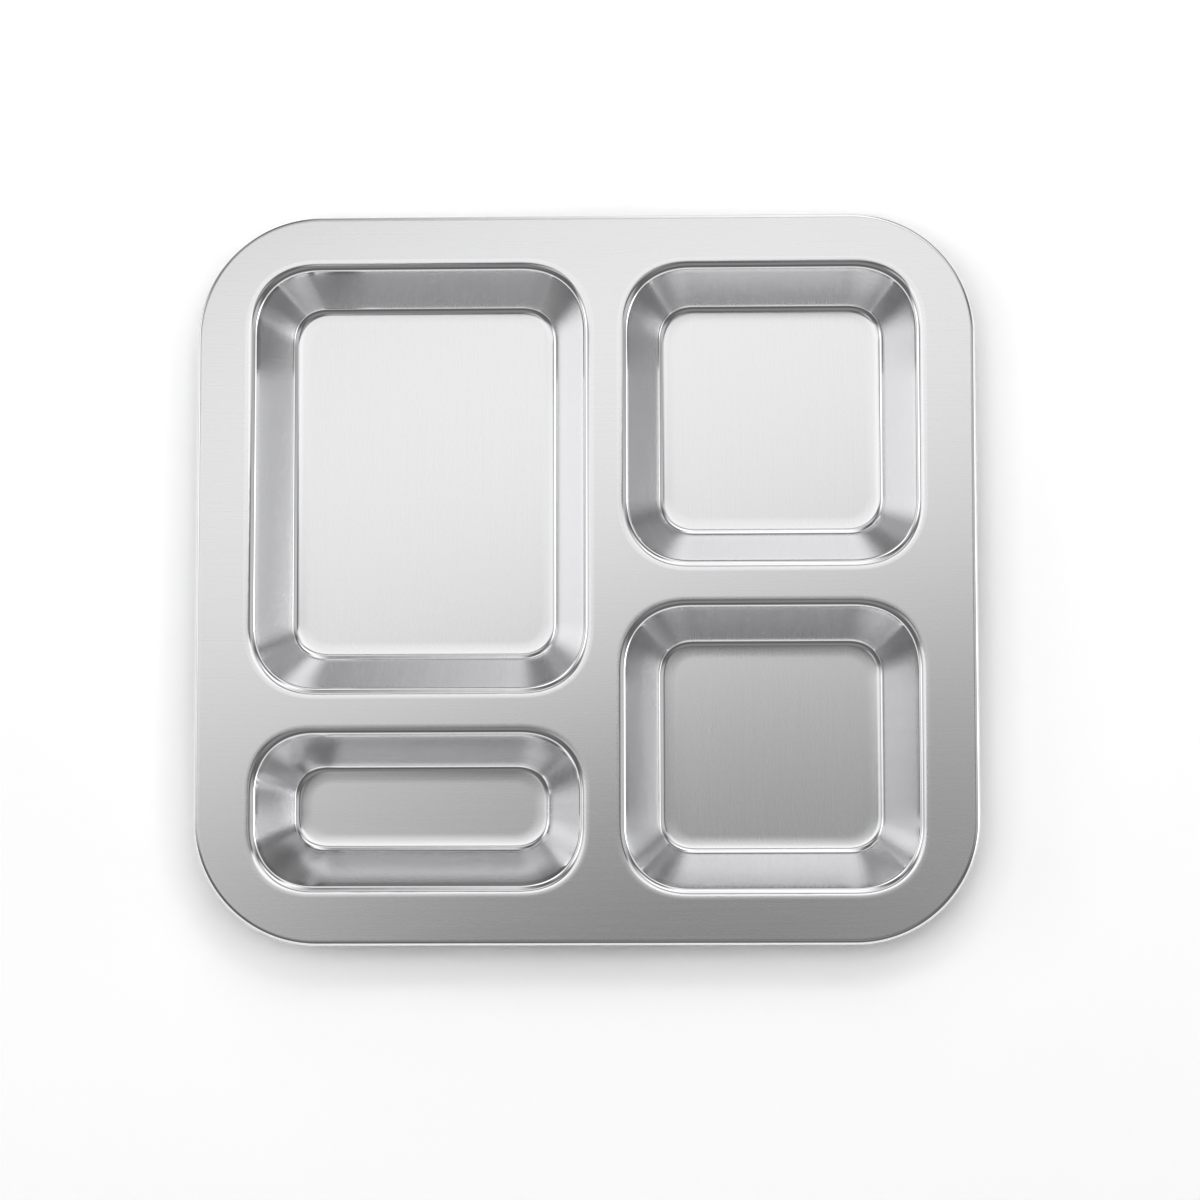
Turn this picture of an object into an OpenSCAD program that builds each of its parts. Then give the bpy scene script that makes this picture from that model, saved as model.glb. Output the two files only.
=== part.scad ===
// Divided compartment plate: a stainless steel sheet pressed into four wells, with a rolled rim.
// Millimetres. +X is to the right, +Y to the back and +Z up. The origin is on the table, under the
// middle of the plate. Each node is one formed zone of the sheet, and neighbours meet face to face.

/* [Sheet] */
// Thickness of the steel sheet
sheet_t = 0.6; // [0.4:0.05:1]

/* [Plate] */
// Width of the plate over its rolled rim
plate_w = 230; // [210:1:260]
// Size of the plate over its rolled rim, front to back
plate_d = 215; // [195:1:245]
// Corner radius of the plate's outline
plate_corner_r = 36.5; // [30:0.5:44]
// Outer radius of the rim's curl
curl_r = 1.8; // [1.4:0.1:2.4]

/* [Wells] */
// Drop of every well, from the deck's face to the floor's face
well_drop = 16; // [12:0.5:20]
// Slope of the walls of the two wells at the back, in degrees from level
rear_wall_slope = 58; // [52:1:68]
// Slope of the walls of the two wells at the front, in degrees from level
front_wall_slope = 56; // [52:1:68]
// Radius of the shoulder bend, from the deck into a wall
shoulder_r = 3.2; // [1.6:0.1:4]
// Radius of the bend from a wall into the floor
floor_bend_r = 3.2; // [1.6:0.1:4]
// Corner radius of the large well and of both square wells, at the deck
well_corner_r = 18.8; // [15:0.1:24]
// Corner radius of the small well, at the deck
small_corner_r = 17.5; // [15:0.1:22]

/* [Layout] */
// Deck between the wells and the plate's left and right edges
side_margin = 15.2; // [12:0.1:20]
// Deck between the wells and the plate's front and back edges
end_margin = 14; // [11:0.1:18]
// Strip of deck between the two wells at the back
rear_column_gap = 8.1; // [5:0.1:14]
// Strip of deck between the two wells at the front
front_column_gap = 8.7; // [5:0.1:14]
// Strip of deck between a well and its neighbour to the back
row_gap = 8.7; // [5:0.1:14]
// Width of the large well at the deck
large_well_w = 101.8; // [90:0.1:115]
// Size of the small well at the deck, front to back
small_well_d = 49; // [42:0.5:64]
// Size of the front square well at the deck, front to back
front_well_d = 86.9; // [70:0.1:105]
// How much further in the small well stands than the large well, at its sides and its front
small_well_inset = 0.9; // [0:0.1:4]
// How far the small well stands to the left of the large well's middle
small_well_shift = 0.5; // [0:0.1:2]

/* [Hidden] */
$fn = 96;
// Facets along each bend of a well's side
bend_steps = 8;
// How far a cutting shape runs past what it cuts
cut_overrun = 1;

deck_top = well_drop + sheet_t;
curl_bore_r = curl_r - sheet_t;

// A wall's straight stretch, and how far a well's whole side runs in from the deck to the flat floor
bends_r = shoulder_r + floor_bend_r;
function wall_l(slope) = (well_drop - bends_r * (1 - cos(slope))) / sin(slope);
function side_run(slope) = bends_r * sin(slope) + wall_l(slope) * cos(slope);

// Edges of the plate and of the wells' mouths, in plan
plate_left = -plate_w / 2;
plate_right = plate_w / 2;
plate_front = -plate_d / 2;
plate_back = plate_d / 2;
wells_right = plate_right - side_margin;
wells_front = plate_front + end_margin;
wells_back = plate_back - end_margin;
large_left = plate_left + side_margin;
large_right = large_left + large_well_w;
small_left = large_left + small_well_inset - small_well_shift;
small_right = large_right - small_well_inset - small_well_shift;
small_front = wells_front + small_well_inset;
small_back = small_front + small_well_d;
front_square_back = wells_front + front_well_d;
large_front = small_back + row_gap;
rear_square_front = front_square_back + row_gap;
rear_square_left = large_right + rear_column_gap;
front_square_left = small_right + front_column_gap;

// An area is a rounded rectangle in plan: its front left, its back right and its corner radius
plate_area = [[plate_left, plate_front], [plate_right, plate_back], plate_corner_r];
large_area = [[large_left, large_front], [large_right, wells_back], well_corner_r];
rear_square_area = [[rear_square_left, rear_square_front], [wells_right, wells_back], well_corner_r];
front_square_area = [[front_square_left, wells_front], [wells_right, front_square_back], well_corner_r];
small_area = [[small_left, small_front], [small_right, small_back], small_corner_r];
well_areas = [large_area, rear_square_area, front_square_area, small_area];

function inset_area(area, by) = [area[0] + [by, by], area[1] - [by, by], area[2] - by];

// Centres of an area's corners, from the back right one and on against the clock
function corner_centres(area) =
    let (inner = inset_area(area, area[2]), low = inner[0], high = inner[1])
    [high, [low.x, high.y], low, [high.x, low.y]];

function direction(angle) = [cos(angle), sin(angle)];

// Points along an arc, from one angle to another
function arc(centre, r, from, to) =
    [for (k = [0:bend_steps]) centre + r * direction(from + (to - from) * k / bend_steps)];

// Fills an area in plan: a cross of rectangles, with a quarter disc in each corner
module fill_area(area) {
    low = area[0];
    size = area[1] - low;
    r = area[2];
    centres = corner_centres(area);
    translate([low.x, low.y + r])
        square([size.x, size.y - 2 * r]);
    for (y = [low.y, low.y + size.y - r])
        translate([low.x + r, y])
            square([size.x - 2 * r, r]);
    for (k = [0:3])
        translate(centres[k])
            rotate(90 * k)
                intersection() {
                    circle(r);
                    square(r);
                }
}

// Sweeps a section round an area. The section's x runs outwards from the corner centres, its y up
module sweep_round(area) {
    centres = corner_centres(area);
    for (k = [0:3]) {
        next = centres[(k + 1) % 4];
        translate(centres[k])
            rotate(90 * k)
                rotate_extrude(angle = 90)
                    children();
        translate(next)
            rotate([90, 0, 90 * (k + 1)])
                linear_extrude(norm(centres[k] - next))
                    children();
    }
}

// Section of a well's side and floor, for a given corner radius and wall slope. It runs down over the
// shoulder and along the floor to the corner's centre, then back out along the underside
module side_section(corner_r, slope) {
    shoulder = [corner_r, deck_top - shoulder_r];
    foot = [corner_r - side_run(slope), sheet_t + floor_bend_r];
    polygon(concat(
        arc(shoulder, shoulder_r, 90, 90 + slope),
        arc(foot, floor_bend_r, slope - 90, -90),
        [[0, sheet_t], [0, 0]],
        arc(foot, floor_bend_r + sheet_t, -90, slope - 90),
        arc(shoulder, shoulder_r - sheet_t, 90 + slope, 90)
    ));
}

// Section of the rim: three quarters of a ring, rolled out and under, open towards the deck's underside
module curl_section(corner_r) {
    translate([corner_r - curl_r, deck_top - curl_r])
        difference() {
            circle(curl_r);
            circle(curl_bore_r);
            translate([-curl_r - cut_overrun, 0])
                square(curl_r + cut_overrun);
        }
}

// A well: its swept sides, and the rest of its floor between the corner centres
module well(area, slope) {
    centres = corner_centres(area);
    sweep_round(area)
        side_section(area[2], slope);
    translate(centres[2])
        linear_extrude(sheet_t)
            square(centres[0] - centres[2]);
}

// Flat face of the plate, between the rim and the mouths of the wells
module deck() {
    color("silver")
        translate([0, 0, deck_top - sheet_t])
            linear_extrude(sheet_t)
                difference() {
                    fill_area(inset_area(plate_area, curl_r));
                    for (area = well_areas)
                        fill_area(area);
                }
}

// Edge of the sheet, rolled under all round
module rolled_rim() {
    color("gainsboro")
        sweep_round(plate_area)
            curl_section(plate_corner_r);
}

// Large well, at the back left
module large_well() {
    color("lightgray")
        well(large_area, rear_wall_slope);
}

// Square well, at the back right
module rear_square_well() {
    color("lightgray")
        well(rear_square_area, rear_wall_slope);
}

// Square well, at the front right
module front_square_well() {
    color("darkgray")
        well(front_square_area, front_wall_slope);
}

// Small oblong well, at the front left
module small_well() {
    color("darkgray")
        well(small_area, front_wall_slope);
}

deck();
rolled_rim();
large_well();
rear_square_well();
front_square_well();
small_well();
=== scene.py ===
"""Dresses the divided compartment plate: a brushed deck, drawn wells and a rolled rim, on a floor."""

import math
from collections import namedtuple

import bmesh
import bpy
from bpy.props import FloatProperty, FloatVectorProperty, PointerProperty
from mathutils import Matrix, Vector


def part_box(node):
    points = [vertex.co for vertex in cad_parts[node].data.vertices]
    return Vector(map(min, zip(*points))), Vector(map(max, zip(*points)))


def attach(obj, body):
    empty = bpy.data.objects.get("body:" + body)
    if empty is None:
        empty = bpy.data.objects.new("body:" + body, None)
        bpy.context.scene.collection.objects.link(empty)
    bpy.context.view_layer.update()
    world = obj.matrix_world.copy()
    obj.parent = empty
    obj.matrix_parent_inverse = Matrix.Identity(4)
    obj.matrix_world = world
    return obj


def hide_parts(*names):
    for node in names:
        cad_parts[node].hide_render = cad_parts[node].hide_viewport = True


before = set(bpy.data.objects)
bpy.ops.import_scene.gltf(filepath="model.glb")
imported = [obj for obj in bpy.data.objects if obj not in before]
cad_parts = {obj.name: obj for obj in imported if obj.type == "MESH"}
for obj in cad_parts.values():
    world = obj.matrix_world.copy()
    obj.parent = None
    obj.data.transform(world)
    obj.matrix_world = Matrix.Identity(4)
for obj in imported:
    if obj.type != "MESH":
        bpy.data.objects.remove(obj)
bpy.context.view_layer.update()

bl_info = {
    "name": "Divided Compartment Plate",
    "version": (1, 0, 0),
    "blender": (4, 5, 0),
    "location": "View3D > Sidebar > Plate",
    "description": "Builds a pressed steel plate with four wells, and its studio stage",
    "category": "Add Mesh",
}

MM = 0.001

# The frame gives the outline, the wells' mouths, the sheet and the curl
PLATE_LOW, PLATE_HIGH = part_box("rolled_rim")
DECK_LOW, DECK_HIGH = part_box("deck")
WELL_NODES = ("large_well", "rear_square_well", "front_square_well", "small_well")
SMALL_WELL = "small_well"
FRONT_WELLS = ("front_square_well", "small_well")

# How finely bends and sweeps are drawn
BEND_STEPS = 20
EASE_STEPS = 6
WALL_STEPS = 8
CURL_STEPS = 48
CORNER_STEPS = 32
SIDE_STEPS = 24
MERGE_DISTANCE = 0.001 * MM
SHARP_ANGLE = math.radians(40)
UP = Vector((0, 0, 1))
ACROSS = Vector((0, 1, 0))
INWARDS = -1
OUTWARDS = 1
# A well's corner is longer than its circle by a share, and as much squarer as keeps its middle in place
CORNER_EASE = 0.14
CORNER_POWER = 0.857
# The outline that streaks down the walls are spaced along
DRAWN_PLACE = "drawn_place"
DRAWN_CORNER = 12 * MM


class PlateShape(bpy.types.PropertyGroup):
    """Sizes of the pressed sheet that its bends follow"""

    sheet: FloatProperty(
        name="Sheet",
        description="Thickness of the steel sheet",
        default=DECK_HIGH.z - DECK_LOW.z,
        unit="LENGTH",
    )
    curl_radius: FloatProperty(
        name="Curl Radius",
        description="Outer radius of the rim's curl",
        default=DECK_LOW.x - PLATE_LOW.x,
        unit="LENGTH",
    )
    curl_turn: FloatProperty(
        name="Curl Turn",
        description="How far the rim is rolled under",
        default=math.radians(270),
        subtype="ANGLE",
    )
    plate_corner: FloatProperty(
        name="Plate Corner",
        description="Corner radius of the plate's outline",
        default=36.5 * MM,
        unit="LENGTH",
    )
    well_corner: FloatProperty(
        name="Well Corner",
        description="Corner radius of the large and the square wells, at the deck",
        default=18.8 * MM,
        unit="LENGTH",
    )
    small_well_corner: FloatProperty(
        name="Small Well Corner",
        description="Corner radius of the small well, at the deck",
        default=17.5 * MM,
        unit="LENGTH",
    )
    shoulder: FloatProperty(
        name="Shoulder",
        description="Radius of the bend from the deck into a wall",
        default=3.2 * MM,
        unit="LENGTH",
    )
    floor_bend: FloatProperty(
        name="Floor Bend",
        description="Radius of the bend from a wall into the floor",
        default=3.2 * MM,
        unit="LENGTH",
    )
    rear_wall_slope: FloatProperty(
        name="Rear Wall Slope",
        description="Slope of the walls of the two wells at the back, from level",
        default=math.radians(58),
        subtype="ANGLE",
    )
    front_wall_slope: FloatProperty(
        name="Front Wall Slope",
        description="Slope of the walls of the two wells at the front, from level",
        default=math.radians(56),
        subtype="ANGLE",
    )
    floor_corner: FloatProperty(
        name="Floor Corner",
        description="Corner radius of the flat floors",
        default=6.5 * MM,
        unit="LENGTH",
    )
    deck_ease: FloatProperty(
        name="Deck Ease",
        description="Radius of the gentle turn from the deck into a shoulder",
        default=14 * MM,
        unit="LENGTH",
    )
    deck_ease_angle: FloatProperty(
        name="Deck Ease Angle",
        description="How far the sheet turns gently before a shoulder",
        default=math.radians(4),
        subtype="ANGLE",
    )
    floor_ease: FloatProperty(
        name="Floor Ease",
        description="Radius of the gentle turn from a floor bend into the floor",
        default=32 * MM,
        unit="LENGTH",
    )
    floor_ease_angle: FloatProperty(
        name="Floor Ease Angle",
        description="How far the sheet turns gently after a floor bend",
        default=math.radians(6),
        subtype="ANGLE",
    )
    seam: FloatProperty(
        name="Seam Strip",
        description="Width of the flat strip that the rim keeps where it meets the deck",
        default=0.4 * MM,
        unit="LENGTH",
    )

    def mouth_growth(self):
        """How far the gentle turn reaches out over the deck, past a well's mouth."""
        return (self.deck_ease - self.shoulder) * math.sin(self.deck_ease_angle)


class PlateFinish(bpy.types.PropertyGroup):
    """Colours and polish of the steel"""

    deck_colour: FloatVectorProperty(
        name="Deck",
        description="Colour of the brushed deck",
        default=(0.82, 0.82, 0.83),
        subtype="COLOR",
        size=3,
        min=0,
        max=1,
    )
    well_colour: FloatVectorProperty(
        name="Wells",
        description="Colour of the drawn wells",
        default=(0.86, 0.86, 0.87),
        subtype="COLOR",
        size=3,
        min=0,
        max=1,
    )
    rim_colour: FloatVectorProperty(
        name="Rim",
        description="Colour of the rolled rim",
        default=(0.84, 0.84, 0.85),
        subtype="COLOR",
        size=3,
        min=0,
        max=1,
    )
    brushed_roughness: FloatProperty(
        name="Brushed Roughness",
        description="Roughness of the brushed deck and floors",
        default=0.27,
        subtype="FACTOR",
        min=0,
        max=1,
    )
    bend_roughness: FloatProperty(
        name="Bend Roughness",
        description="Roughness of the tight bends and of the rim",
        default=0.05,
        subtype="FACTOR",
        min=0,
        max=1,
    )
    wall_roughness: FloatProperty(
        name="Wall Roughness",
        description="Roughness of the drawn walls",
        default=0.18,
        subtype="FACTOR",
        min=0,
        max=1,
    )


class PlateStage(bpy.types.PropertyGroup):
    """Floor and light of the studio"""

    floor_colour: FloatVectorProperty(
        name="Floor",
        description="Colour of the floor",
        default=(0.92, 0.92, 0.92),
        subtype="COLOR",
        size=3,
        min=0,
        max=1,
    )
    floor_lift: FloatProperty(
        name="Floor Lift",
        description="How much brighter the floor is where it is seen",
        default=2.85,
        min=0,
    )
    light_level: FloatProperty(
        name="Light Level",
        description="Brightness of all softboxes",
        default=1.0,
        min=0,
    )


class Area:
    """A rounded rectangle in plan."""

    def __init__(self, low, high, radius):
        self.low = low
        self.high = high
        self.radius = radius

    def grown(self, by):
        """The same area with its outline moved out."""
        step = Vector((by, by, 0))
        return Area(self.low - step, self.high + step, self.radius + by)

    def turns(self):
        """Each corner's centre and the way to the next one, from the back right against the clock."""
        inner = self.grown(-self.radius)
        low, high = inner.low, inner.high
        centres = [
            Vector((high.x, high.y, 0)),
            Vector((low.x, high.y, 0)),
            Vector((low.x, low.y, 0)),
            Vector((high.x, low.y, 0)),
        ]
        return [(centre, centres[(k + 1) % 4] - centre) for k, centre in enumerate(centres)]

    def start(self, out, height):
        """A point on the first corner's section, a given way out from that corner's centre."""
        centre = self.turns()[0][0]
        return centre + Vector((out, 0, height))


def well_area(node, shape):
    low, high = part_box(node)
    radius = shape.small_well_corner if node == SMALL_WELL else shape.well_corner
    return Area(low, high, radius)


class Pen:
    """Draws a section from point to point, in the upright plane along X."""

    def __init__(self, bm, start, facing):
        self.bm = bm
        self.point = bm.verts.new(start)
        self.facing = facing
        self.fall = 0.0

    def straight(self, length, steps=1):
        step = Vector((self.facing * math.cos(self.fall), 0, -math.sin(self.fall))) * length / steps
        self.carry(self.point.co, UP, 0, steps, step)

    def bend(self, radius, angle, steps):
        """Turns down by an angle, or back up by a negative one."""
        side = Vector((-self.facing * math.sin(self.fall), 0, -math.cos(self.fall)))
        middle = self.point.co + side * math.copysign(radius, angle)
        self.carry(middle, ACROSS, self.facing * angle, steps, Vector())
        self.fall += angle

    def carry(self, middle, axis, angle, steps, step):
        drawn = bmesh.ops.spin(
            self.bm, geom=[self.point], cent=middle, axis=axis, dvec=step, angle=angle, steps=steps
        )
        self.point = drawn["geom_last"][0]


def sweep_round(bm, section, area):
    """Carries a section round an area, back to where it began."""
    for centre, way in area.turns():
        turned = bmesh.ops.spin(
            bm, geom=section, cent=centre, axis=UP, angle=math.pi / 2, steps=CORNER_STEPS
        )
        carried = bmesh.ops.spin(
            bm,
            geom=turned["geom_last"],
            cent=centre,
            axis=UP,
            dvec=way / SIDE_STEPS,
            angle=0,
            steps=SIDE_STEPS,
        )
        section = carried["geom_last"]
    bmesh.ops.remove_doubles(bm, verts=bm.verts[:], dist=MERGE_DISTANCE)


def face_up(bm):
    """Turns all faces the same way, with the topmost one facing up."""
    bmesh.ops.recalc_face_normals(bm, faces=bm.faces[:])
    top = max(bm.faces, key=lambda face: face.calc_center_median().z)
    if top.normal.z < 0:
        bmesh.ops.reverse_faces(bm, faces=bm.faces[:])


def ease_corners(verts, area, widening=0):
    """Lets an area's corners start and end gently, and widens them by a share of the way in."""
    inner = area.grown(-area.radius)
    middle = (inner.low + inner.high) / 2
    half = (inner.high - inner.low) / 2
    for vert in verts:
        off = vert.co - middle
        past = Vector((abs(off.x) - half.x, abs(off.y) - half.y))
        inset = max(0, area.radius - Vector((max(0, past.x), max(0, past.y))).length)
        shift = CORNER_EASE * area.radius + widening * inset
        if past.x < -MERGE_DISTANCE:
            past.x = abs(off.x) * (half.x - shift) / half.x - half.x
        elif past.y < -MERGE_DISTANCE:
            past.y = abs(off.y) * (half.y - shift) / half.y - half.y
        else:
            way = [max(0, part / past.length) ** CORNER_POWER for part in past]
            past = Vector(way) * (past.length + shift) - Vector((shift, shift))
        vert.co.x = middle.x + math.copysign(past.x + half.x, off.x)
        vert.co.y = middle.y + math.copysign(past.y + half.y, off.y)


def mark_drawing(bm, area):
    """Marks each point of a well with its place on one outline round the walls, and its height."""
    inner = area.grown(-area.radius)
    drawn_place = bm.verts.layers.float_vector.new(DRAWN_PLACE)
    for vert in bm.verts:
        x, y, z = vert.co
        near_x = max(inner.low.x, min(inner.high.x, x))
        near_y = max(inner.low.y, min(inner.high.y, y))
        nearest = Vector((near_x, near_y, z))
        vert[drawn_place] = nearest + (vert.co - nearest).normalized() * DRAWN_CORNER


def make_piece(bm, node, material):
    """Turns a mesh into the piece that stands for a node."""
    mesh = bpy.data.meshes.new(node + "_sheet")
    bm.to_mesh(mesh)
    bm.free()
    mesh.shade_smooth()
    mesh.set_sharp_from_angle(angle=SHARP_ANGLE)
    mesh.materials.append(material)
    piece = bpy.data.objects.new(node + "_sheet", mesh)
    bpy.context.scene.collection.objects.link(piece)
    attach(piece, "root")
    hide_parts(node)


class Signal:
    """A node's output, with the operators that shader maths needs."""

    def __init__(self, tree, socket):
        self.tree = tree
        self.socket = socket

    def __add__(self, other):
        return self.tree.maths("ADD", self, other)

    def __radd__(self, other):
        return self.tree.maths("ADD", other, self)

    def __sub__(self, other):
        return self.tree.maths("SUBTRACT", self, other)

    def __rsub__(self, other):
        return self.tree.maths("SUBTRACT", other, self)

    def __mul__(self, other):
        return self.tree.maths("MULTIPLY", self, other)

    def __rmul__(self, other):
        return self.tree.maths("MULTIPLY", other, self)


class Tree:
    """A node tree that is written as expressions."""

    def __init__(self, node_tree):
        self.node_tree = node_tree
        node_tree.nodes.clear()

    def node(self, kind, settings=None, inputs=None, output=0):
        """Adds a node of a type, sets its settings, then its sockets, and gives one of its outputs."""
        made = self.node_tree.nodes.new(kind)
        for name, value in (settings or {}).items():
            setattr(made, name, value)
        for name, value in (inputs or {}).items():
            if isinstance(value, Signal):
                self.node_tree.links.new(value.socket, made.inputs[name])
            else:
                made.inputs[name].default_value = value
        return Signal(self, made.outputs[output]) if len(made.outputs) else None

    def maths(self, operation, first, second):
        return self.node("ShaderNodeMath", {"operation": operation}, {0: first, 1: second})

    def split(self, vector):
        """The three parts of a vector."""
        made = self.node_tree.nodes.new("ShaderNodeSeparateXYZ")
        self.node_tree.links.new(vector.socket, made.inputs[0])
        return [Signal(self, part) for part in made.outputs]

    def ease(self, value, start, end):
        """A soft step from 0 at start to 1 at end."""
        return self.node(
            "ShaderNodeMapRange",
            {"interpolation_type": "SMOOTHSTEP"},
            {"Value": value, "From Min": start, "From Max": end},
        )

    def noise(self, place, lengths, detail=2.0):
        """Noise whose grains have given lengths along X, Y and Z."""
        stretched = self.node(
            "ShaderNodeMapping",
            {"vector_type": "POINT"},
            {"Vector": place, "Scale": [1 / length for length in lengths]},
        )
        return self.node("ShaderNodeTexNoise", {}, {"Vector": stretched, "Scale": 1.0, "Detail": detail})

    def shade(self, factor, dark, light):
        """A colour between two, by a factor."""
        return self.node(
            "ShaderNodeMix",
            {"data_type": "RGBA"},
            {0: factor, 6: (*dark, 1), 7: (*light, 1)},
            output=2,
        )


# Scratches of the brush, and the slow ripple and the streaks of drawn sheet
GRAIN_WIDTH = 0.2 * MM
GRAIN_LENGTH = 26 * MM
GRAIN_DEPTH = 0.0008 * MM
GRAIN_ROUGHNESS = 0.05
FINE_SHARE = 0.6
FINE_DETAIL = 3
COARSE_WIDTH = 3
COARSE_LENGTH = 2.5
RIPPLE_LENGTH = 9 * MM
RIPPLE_DEPTH = 0.04 * MM
STREAK_WIDTH = 0.4 * MM
STREAK_LENGTH = 40 * MM
STREAK_DEPTH = 0.012 * MM
TINTS = (0.98, 1.02)
# Heights over which the finish changes, up from a floor's face or down from the deck's
FLOOR_ZONE = (0.05 * MM, 0.4 * MM)
LOW_WALL_ZONE = (1.5 * MM, 3.0 * MM)
HIGH_WALL_ZONE = (3.0 * MM, 1.5 * MM)
BRIM_ZONE = (0.15 * MM, 0.02 * MM)
RIM_BRIM_ZONE = (0.05 * MM, 0)


def new_material(name):
    material = bpy.data.materials.new(name)
    material.use_nodes = True
    return material, Tree(material.node_tree)


def scaled(colour, by):
    return [part * by for part in colour]


def tinted(tree, factor, colour):
    """A colour that varies a little, by a factor."""
    return tree.shade(factor, *[scaled(colour, tint) for tint in TINTS])


def rise(tree, z, start, zone):
    """A soft step over a zone above a height."""
    return tree.ease(z, *[start + up for up in zone])


def near_deck(tree, z, zone):
    """A soft step over a zone below the deck's face."""
    return tree.ease(z, *[DECK_HIGH.z - down for down in zone])


def brushed_grain(tree, place, along_x):
    """Fine scratches of a brush, with some longer and wider ones among them."""
    def scratches(wide, long):
        return (long, wide, long) if along_x else (wide, long, long)

    fine = tree.noise(place, scratches(GRAIN_WIDTH, GRAIN_LENGTH), FINE_DETAIL)
    coarse = tree.noise(place, scratches(COARSE_WIDTH * GRAIN_WIDTH, COARSE_LENGTH * GRAIN_LENGTH))
    return FINE_SHARE * fine + (1 - FINE_SHARE) * coarse


def finish_steel(tree, colour, roughness, height):
    """A steel shader, with a height in shares of the grain's depth as its bump."""
    normal = tree.node("ShaderNodeBump", {}, {"Strength": 1.0, "Distance": GRAIN_DEPTH, "Height": height})
    steel = tree.node(
        "ShaderNodeBsdfPrincipled",
        {},
        {"Base Color": colour, "Metallic": 1.0, "Roughness": roughness, "Normal": normal},
    )
    tree.node("ShaderNodeOutputMaterial", {}, {"Surface": steel})


def brushed_deck_steel(finish):
    """Steel with a fine brush along X."""
    material, tree = new_material("brushed_deck_steel")
    place = tree.node("ShaderNodeTexCoord", output="Object")
    grain = brushed_grain(tree, place, True)
    colour = tinted(tree, grain, finish.deck_colour)
    roughness = finish.brushed_roughness + GRAIN_ROUGHNESS * (grain - 0.5)
    finish_steel(tree, colour, roughness, grain)
    return material


def drawn_well_steel(name, finish, floor_top, along_x):
    """Steel with a brushed floor and brim, and smooth drawn bends and walls."""
    material, tree = new_material(name)
    place = tree.node("ShaderNodeTexCoord", output="Object")
    z = tree.split(place)[2]
    floor = 1 - rise(tree, z, floor_top, FLOOR_ZONE)
    brim = near_deck(tree, z, BRIM_ZONE)
    low_wall = rise(tree, z, floor_top, LOW_WALL_ZONE)
    wall = low_wall - near_deck(tree, z, HIGH_WALL_ZONE)
    brushed = floor + brim
    floor_grain = brushed_grain(tree, place, along_x)
    brim_grain = brushed_grain(tree, place, True)
    grain = floor * floor_grain + brim * brim_grain
    drawn_place = tree.node("ShaderNodeAttribute", {"attribute_name": DRAWN_PLACE}, output="Vector")
    ripple = tree.noise(drawn_place, (RIPPLE_LENGTH, RIPPLE_LENGTH, STREAK_LENGTH))
    streaks = tree.noise(drawn_place, (STREAK_WIDTH, STREAK_WIDTH, STREAK_LENGTH))
    colour = tinted(tree, floor_grain, finish.well_colour)
    roughness = (
        finish.bend_roughness
        + brushed * (finish.brushed_roughness - finish.bend_roughness)
        + wall * (finish.wall_roughness - finish.bend_roughness)
        + GRAIN_ROUGHNESS * (grain - 0.5 * brushed)
    )
    rippled = (1 - brushed) * (ripple - 0.5) * (RIPPLE_DEPTH / GRAIN_DEPTH)
    streaked = wall * (streaks - 0.5) * (STREAK_DEPTH / GRAIN_DEPTH)
    height = grain + rippled + streaked
    finish_steel(tree, colour, roughness, height)
    return material


def polished_rim_steel(finish):
    """Steel that the rolls have polished, brushed where it meets the deck."""
    material, tree = new_material("polished_rim_steel")
    place = tree.node("ShaderNodeTexCoord", output="Object")
    z = tree.split(place)[2]
    brim = near_deck(tree, z, RIM_BRIM_ZONE)
    grain = brushed_grain(tree, place, True)
    ripple = tree.noise(place, (RIPPLE_LENGTH, RIPPLE_LENGTH, RIPPLE_LENGTH))
    colour = tinted(tree, ripple, finish.rim_colour)
    roughness = finish.bend_roughness + brim * (finish.brushed_roughness - finish.bend_roughness)
    height = brim * grain + ripple * (RIPPLE_DEPTH / GRAIN_DEPTH)
    finish_steel(tree, colour, roughness, height)
    return material


class MakeDeck(bpy.types.Operator):
    """Cuts the deck between the rim and the mouths of the wells"""

    bl_idname = "plate.make_deck"
    bl_label = "Make Deck"

    def execute(self, context):
        shape = context.scene.plate_shape
        outline = Area(DECK_LOW, DECK_HIGH, shape.plate_corner - shape.curl_radius).grown(-shape.seam)
        bm = bmesh.new()
        self.draw_loop(bm, outline)
        for node in WELL_NODES:
            area = well_area(node, shape)
            ease_corners(self.draw_loop(bm, area.grown(shape.mouth_growth())), area)
        bmesh.ops.triangle_fill(bm, edges=bm.edges[:], use_beauty=True)
        face_up(bm)
        bmesh.ops.solidify(bm, geom=bm.faces[:], thickness=shape.sheet)
        make_piece(bm, "deck", brushed_deck_steel(context.scene.plate_finish))
        return {"FINISHED"}

    def draw_loop(self, bm, area):
        """Draws an area's outline at the deck's face, and gives its points."""
        known = set(bm.verts)
        start = bm.verts.new(area.start(area.radius, DECK_HIGH.z))
        sweep_round(bm, [start], area)
        return [vert for vert in bm.verts if vert not in known]


class MakeRim(bpy.types.Operator):
    """Rolls the edge of the sheet out and under"""

    bl_idname = "plate.make_rim"
    bl_label = "Make Rim"

    def execute(self, context):
        shape = context.scene.plate_shape
        outline = Area(PLATE_LOW, PLATE_HIGH, shape.plate_corner)
        tangent = shape.plate_corner - shape.curl_radius
        bm = bmesh.new()
        pen = Pen(bm, outline.start(tangent - shape.seam, DECK_HIGH.z), OUTWARDS)
        pen.straight(shape.seam)
        pen.bend(shape.curl_radius, shape.curl_turn, CURL_STEPS)
        sweep_round(bm, bm.verts[:] + bm.edges[:], outline)
        face_up(bm)
        bmesh.ops.solidify(bm, geom=bm.faces[:], thickness=shape.sheet)
        make_piece(bm, "rolled_rim", polished_rim_steel(context.scene.plate_finish))
        return {"FINISHED"}


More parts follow.
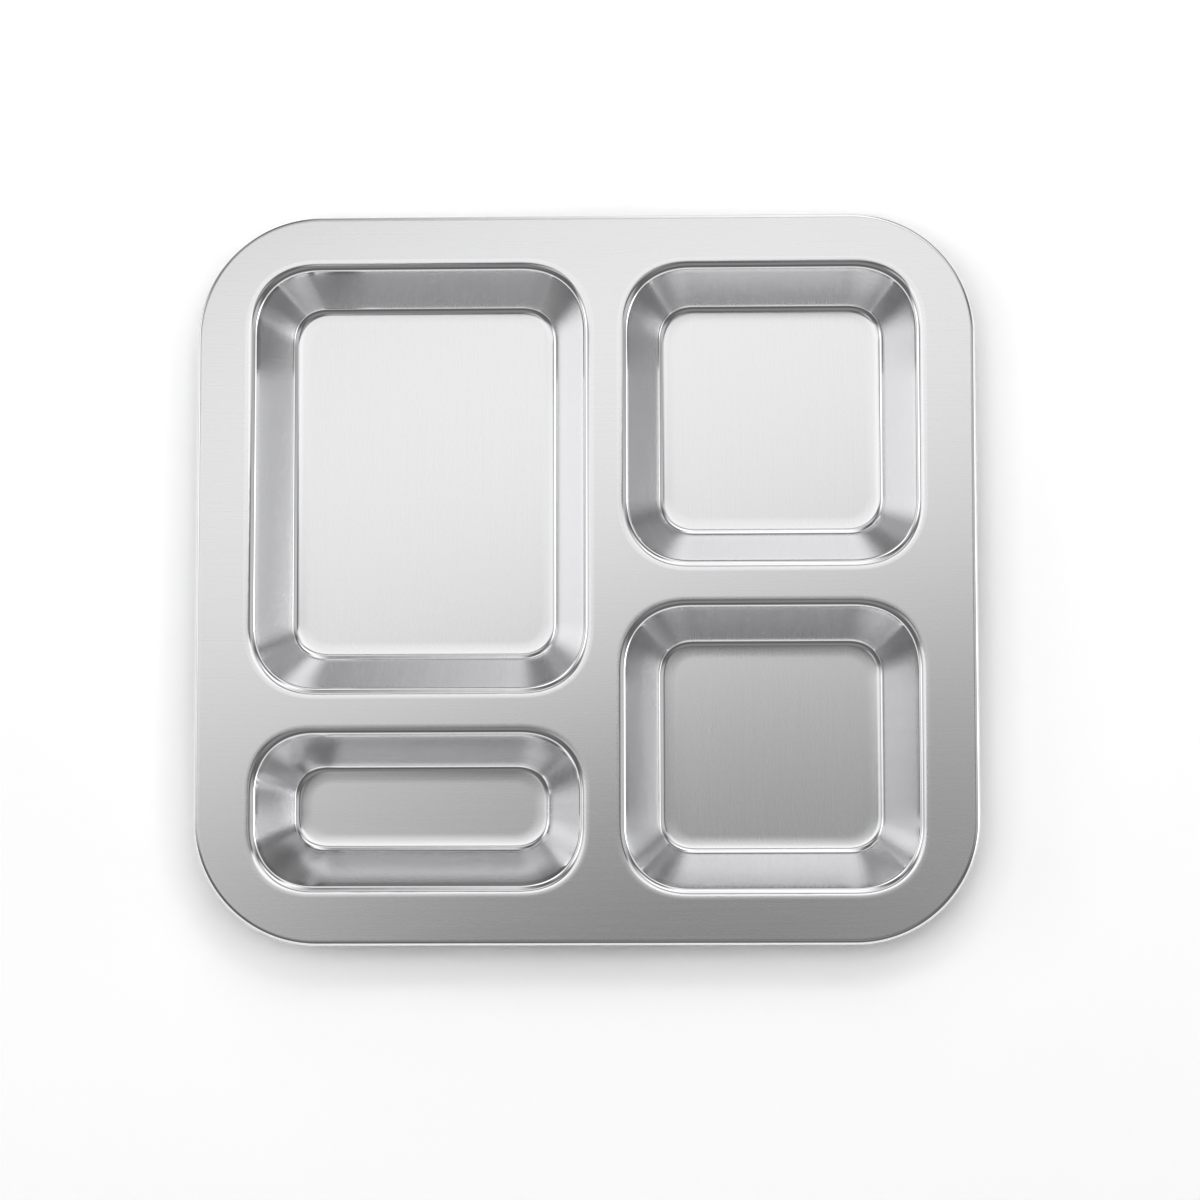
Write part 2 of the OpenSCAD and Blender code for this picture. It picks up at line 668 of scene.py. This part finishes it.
class MakeWells(bpy.types.Operator):
    """Draws the four wells down from the deck"""

    bl_idname = "plate.make_wells"
    bl_label = "Make Wells"

    def execute(self, context):
        shape = context.scene.plate_shape
        finish = context.scene.plate_finish
        floor_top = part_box(SMALL_WELL)[0].z + shape.sheet
        along = drawn_well_steel("well_steel_brushed_along", finish, floor_top, False)
        across = drawn_well_steel("well_steel_brushed_across", finish, floor_top, True)
        for node in WELL_NODES:
            bm = self.draw_well(node, shape)
            make_piece(bm, node, across if node == SMALL_WELL else along)
        return {"FINISHED"}

    def draw_well(self, node, shape):
        """The well's sheet: a section from the deck to the floor, swept round, with the floor filled in."""
        area = well_area(node, shape)
        slope = shape.front_wall_slope if node in FRONT_WELLS else shape.rear_wall_slope
        bends = (
            (shape.shoulder, shape.deck_ease, shape.deck_ease_angle),
            (shape.floor_bend, shape.floor_ease, shape.floor_ease_angle),
        )
        bends_drop = sum(
            gentle * (1 - math.cos(ease)) + tight * (math.cos(ease) - math.cos(slope))
            for tight, gentle, ease in bends
        )
        drop = area.high.z - area.low.z - shape.sheet
        brink = area.radius + shape.mouth_growth()

        bm = bmesh.new()
        pen = Pen(bm, area.start(brink, area.high.z), INWARDS)
        pen.bend(shape.deck_ease, shape.deck_ease_angle, EASE_STEPS)
        pen.bend(shape.shoulder, slope - shape.deck_ease_angle, BEND_STEPS)
        pen.straight((drop - bends_drop) / math.sin(slope), WALL_STEPS)
        pen.bend(shape.floor_bend, shape.floor_ease_angle - slope, BEND_STEPS)
        pen.bend(shape.floor_ease, -shape.floor_ease_angle, EASE_STEPS)
        side_run = area.start(area.radius, 0).x - pen.point.co.x
        sweep_round(bm, bm.verts[:] + bm.edges[:], area)
        mark_drawing(bm, area)
        widening = (shape.floor_corner + side_run - (1 + CORNER_EASE) * area.radius) / side_run
        ease_corners(bm.verts, area, widening)
        half_way = area.low.z + drop / 2
        floor_edges = [edge for edge in bm.edges if edge.is_boundary and edge.verts[0].co.z < half_way]
        bmesh.ops.edgeloop_fill(bm, edges=floor_edges)
        face_up(bm)
        bmesh.ops.solidify(bm, geom=bm.faces[:], thickness=shape.sheet)
        return bm


CAMERA_PLACE = Vector((40.26, -46.2, 673.34)) * MM
CAMERA_TILT = math.radians(3.404)
CAMERA_SWAY = math.radians(1.064)
CAMERA_ROLL = math.radians(-0.277)
CAMERA_SHIFT = -0.0674
CAMERA_LENS = 67.5
CAMERA_SENSOR = 36.0
FLOOR_SIZE = 2.4
FLOOR_FADE = (0.25, 0.6)
# Painted shadow: ambient occlusion, leaning toward the back, darkens the floor's colour next to the plate
# as a contact shadow
FLOOR_PAINTED_SHADOW_SAMPLES = 16
FLOOR_PAINTED_SHADOW_REACH = 21 * MM
FLOOR_PAINTED_SHADOW_FROM = Vector((0, 0.9, 0.44))

# Softboxes round the plate, at one distance. Angles in degrees, azimuths from the back to the right
SOFTBOX_DISTANCE = 2.0
SOFTBOX_FADE_ACROSS = 0.45
SOFTBOX_FADE_UP = 0.2
Softbox = namedtuple("Softbox", "name azimuth elevation half_width half_height level")
SOFTBOXES = (
    Softbox("overhead_softbox", -16, 78, 49, 13.5, 1.02),
    Softbox("back_high_softbox", -10, 55, 34, 7, 0.71),
    Softbox("back_softbox", 20, 42, 36, 11, 1.16),
    Softbox("back_low_softbox", 3, 24, 18, 9, 1.14),
    Softbox("back_left_softbox", -45, 25, 14, 9, 0.32),
    Softbox("back_left_card", -32, 8, 27, 9, 0.83),
    Softbox("back_right_card", 20, 8, 17, 8, 0.22),
    Softbox("left_softbox", -79, 29, 26, 12, 1.26),
    Softbox("left_high_softbox", -84, 47, 23, 16, 0.28),
    Softbox("left_top_softbox", -128, 66, 16, 10, 0.4),
    Softbox("right_softbox", 95, 10, 23, 8, 2.03),
    Softbox("right_high_softbox", 88, 40, 21, 22, 0.45),
    Softbox("right_top_softbox", 110, 76, 18, 8, 0.24),
    Softbox("front_high_softbox", 176, 54, 36, 14, 0.12),
)
AMBIENT_LEVEL = 0.07
MIRRORED_LEVEL = 0.07
HORIZON_FADE = (math.sin(math.radians(4)), math.sin(math.radians(22)))
WHITE = (1, 1, 1, 1)


class SetStage(bpy.types.Operator):
    """Sets the floor, the light and the camera"""

    bl_idname = "plate.set_stage"
    bl_label = "Set Stage"

    def execute(self, context):
        stage = context.scene.plate_stage
        self.lay_floor(stage)
        self.light_world(context.scene)
        for softbox in SOFTBOXES:
            self.hang(context.scene, softbox, stage.light_level)
        self.place_camera(context.scene)
        context.scene.view_settings.view_transform = "Standard"
        return {"FINISHED"}

    def lay_floor(self, stage):
        """A wide pale floor, lifted where it is seen, with a painted shadow of the plate that fades the
        lift close under it, and clear from below.
        """
        material, tree = new_material("pale_floor")
        seen = seen_ray(tree)
        painted_shadow_open = tree.node(
            "ShaderNodeAmbientOcclusion",
            {"samples": FLOOR_PAINTED_SHADOW_SAMPLES},
            {"Distance": FLOOR_PAINTED_SHADOW_REACH, "Normal": FLOOR_PAINTED_SHADOW_FROM},
            output="AO",
        )
        lifted = scaled(stage.floor_colour, stage.floor_lift)
        # Painted shadow: the lift fades where the plate occludes the floor, so the floor's colour is darker
        # right beside the plate
        colour = tree.shade(seen * painted_shadow_open * painted_shadow_open * painted_shadow_open, stage.floor_colour, lifted)
        paint = tree.node("ShaderNodeBsdfDiffuse", {}, {"Color": colour})
        place = tree.node("ShaderNodeTexCoord", output="Object")
        away = tree.node("ShaderNodeVectorMath", {"operation": "LENGTH"}, {0: place}, output="Value")
        white = tree.node("ShaderNodeEmission", {}, {"Color": WHITE, "Strength": 1.0})
        far = seen * tree.ease(away, *FLOOR_FADE)
        shown = tree.node("ShaderNodeMixShader", {}, {0: far, 1: paint, 2: white})
        below = tree.node("ShaderNodeNewGeometry", output="Backfacing")
        clear = tree.node("ShaderNodeBsdfTransparent")
        one_sided = tree.node("ShaderNodeMixShader", {}, {0: below, 1: shown, 2: clear})
        tree.node("ShaderNodeOutputMaterial", {}, {"Surface": one_sided})
        bm = bmesh.new()
        bmesh.ops.create_grid(bm, x_segments=1, y_segments=1, size=FLOOR_SIZE / 2)
        mesh = bpy.data.meshes.new("studio_floor")
        bm.to_mesh(mesh)
        bm.free()
        mesh.materials.append(material)
        floor = bpy.data.objects.new("studio_floor", mesh)
        bpy.context.scene.collection.objects.link(floor)

    def light_world(self, scene):
        """Dim light from all round, white where it is seen and, in metal, down at the horizon."""
        world = bpy.data.worlds.new("studio_light")
        world.use_nodes = True
        scene.world = world
        tree = Tree(world.node_tree)
        z = tree.split(tree.node("ShaderNodeTexCoord", output="Generated"))[2]
        mirrored = 1 - (1 - MIRRORED_LEVEL) * tree.ease(z, *HORIZON_FADE)
        straight = tree.node("ShaderNodeLightPath", output="Is Camera Ray")
        white = tree.maths("MAXIMUM", straight, seen_ray(tree) * mirrored)
        level = AMBIENT_LEVEL + (1 - AMBIENT_LEVEL) * white
        light = tree.node("ShaderNodeBackground", {}, {"Color": WHITE, "Strength": level})
        tree.node("ShaderNodeOutputWorld", {}, {"Surface": light})

    def hang(self, scene, softbox, light_level):
        """Hangs a softbox so that it faces the plate."""
        width, height = [
            2 * SOFTBOX_DISTANCE * math.tan(math.radians(half))
            for half in (softbox.half_width, softbox.half_height)
        ]
        lamp = bpy.data.lights.new(softbox.name, "AREA")
        lamp.shape = "RECTANGLE"
        lamp.size = width
        lamp.size_y = height
        lamp.energy = light_level * softbox.level * math.pi * width * height
        lamp.use_nodes = True
        tree = Tree(lamp.node_tree)
        across, up, _ = tree.split(tree.node("ShaderNodeNewGeometry", output="Parametric"))
        level = soft_edged(tree, across, SOFTBOX_FADE_ACROSS) * soft_edged(tree, up, SOFTBOX_FADE_UP)
        glow = tree.node("ShaderNodeEmission", {}, {"Strength": level})
        tree.node("ShaderNodeOutputLight", {}, {"Surface": glow})
        hung = bpy.data.objects.new(softbox.name, lamp)
        hung.matrix_world = (
            Matrix.Rotation(math.radians(-softbox.azimuth), 4, "Z")
            @ Matrix.Rotation(math.radians(softbox.elevation - 90), 4, "X")
            @ Matrix.Translation((0, 0, SOFTBOX_DISTANCE))
        )
        scene.collection.objects.link(hung)

    def place_camera(self, scene):
        """Looks down on the plate, a little from the front right."""
        lens = bpy.data.cameras.new("photo_camera")
        lens.lens = CAMERA_LENS
        lens.sensor_width = CAMERA_SENSOR
        lens.shift_x = CAMERA_SHIFT
        camera = bpy.data.objects.new("photo_camera", lens)
        turn = (
            Matrix.Rotation(CAMERA_TILT, 4, "X")
            @ Matrix.Rotation(CAMERA_SWAY, 4, "Y")
            @ Matrix.Rotation(CAMERA_ROLL, 4, "Z")
        )
        camera.matrix_world = Matrix.Translation(CAMERA_PLACE) @ turn
        scene.collection.objects.link(camera)
        scene.camera = camera


def soft_edged(tree, part, fade):
    """1 along a softbox's middle, falling to 0 at its edges."""
    return tree.ease(part, 0, fade) * (1 - tree.ease(part, 1 - fade, 1))


def seen_ray(tree):
    """1 for rays that show a surface, straight or in metal or glass."""
    names = ("Is Camera Ray", "Is Glossy Ray", "Is Transmission Ray")
    straight, mirrored, through = [tree.node("ShaderNodeLightPath", output=name) for name in names]
    return tree.maths("MINIMUM", straight + mirrored + through, 1.0)


class PlatePanel(bpy.types.Panel):
    """Lists what builds the plate"""

    bl_idname = "VIEW3D_PT_plate"
    bl_label = "Divided Plate"
    bl_space_type = "VIEW_3D"
    bl_region_type = "UI"
    bl_category = "Plate"

    def draw(self, context):
        for operator in OPERATORS:
            self.layout.operator(operator.bl_idname)


OPERATORS = (MakeDeck, MakeRim, MakeWells, SetStage)
SETTINGS = {"plate_shape": PlateShape, "plate_finish": PlateFinish, "plate_stage": PlateStage}
CLASSES = (*SETTINGS.values(), *OPERATORS, PlatePanel)


def register():
    for cls in CLASSES:
        bpy.utils.register_class(cls)
    for name, group in SETTINGS.items():
        setattr(bpy.types.Scene, name, PointerProperty(type=group))


def unregister():
    for name in SETTINGS:
        delattr(bpy.types.Scene, name)
    for cls in reversed(CLASSES):
        bpy.utils.unregister_class(cls)


def main():
    register()
    bpy.ops.plate.make_deck()
    bpy.ops.plate.make_rim()
    bpy.ops.plate.make_wells()
    bpy.ops.plate.set_stage()


if __name__ == "__main__":
    main()
